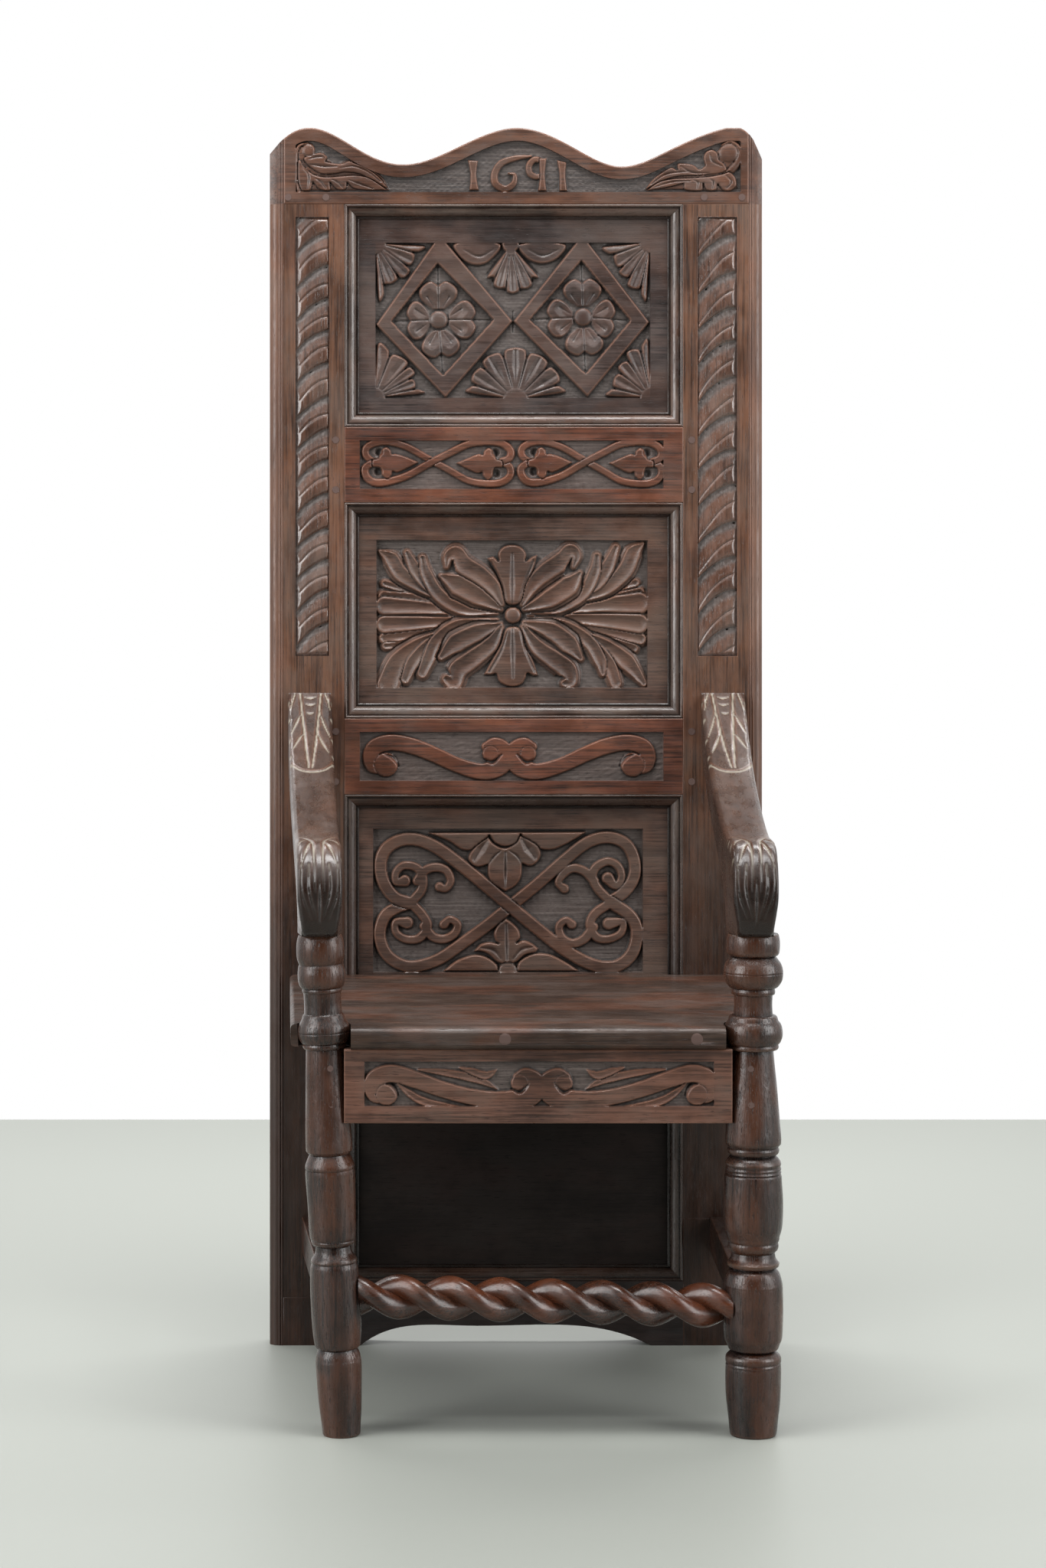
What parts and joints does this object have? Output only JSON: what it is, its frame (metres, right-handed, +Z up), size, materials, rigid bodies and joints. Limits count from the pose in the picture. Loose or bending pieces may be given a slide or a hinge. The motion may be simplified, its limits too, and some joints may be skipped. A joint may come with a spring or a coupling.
{
  "type": "wainscot chair",
  "caption": "Joined oak wainscot armchair with a tall carved panelled back, scrolled arms, turned front legs, twisted front stretcher and board seat.",
  "frame": {"origin": "on the floor, under the middle of the chair's overall width and depth", "axes": "+Z up, a sitter faces -Y, and the sitter's left hand is on +X"},
  "size_m": [0.575, 0.474, 1.42],
  "materials": {
    "oak_arm": "dark waxed oak, hand polished",
    "oak_frame": "dark waxed oak",
    "oak_moulding": "dark waxed oak",
    "oak_panel": "dark waxed oak, rubbed brighter on the raised carving",
    "oak_peg": "dark waxed oak",
    "oak_seat": "dark waxed oak with worn streaks",
    "oak_turning": "dark waxed oak, worn reddish-brown",
    "oak_twist": "glossy reddish-brown waxed oak"
  },
  "bodies": {
    "root": {"back_frame_pegs": "oak_peg", "base_panel": "oak_panel", "base_panel_moulding": "oak_moulding", "bottom_back_rail": "oak_frame", "crest_pegs": "oak_peg", "crest_rail": "oak_frame", "front_seat_rail": "oak_frame", "front_stretcher": "oak_twist", "left_arm": "oak_arm", "left_back_stile": "oak_frame", "left_front_leg": "oak_turning", "left_seat_rail": "oak_frame", "left_stile_foot": "oak_frame", "left_stretcher": "oak_turning", "lower_mid_rail": "oak_frame", "lower_panel": "oak_panel", "lower_panel_moulding": "oak_moulding", "middle_panel": "oak_panel", "middle_panel_moulding": "oak_moulding", "right_arm": "oak_arm", "right_back_stile": "oak_frame", "right_front_leg": "oak_turning", "right_seat_rail": "oak_frame", "right_stile_foot": "oak_frame", "right_stretcher": "oak_turning", "seat_back_rail": "oak_frame", "seat_board": "oak_seat", "seat_frame_pegs": "oak_peg", "seat_plugs": "oak_seat", "upper_mid_rail": "oak_frame", "upper_panel": "oak_panel", "upper_panel_moulding": "oak_moulding"}
  },
  "joints": []
}
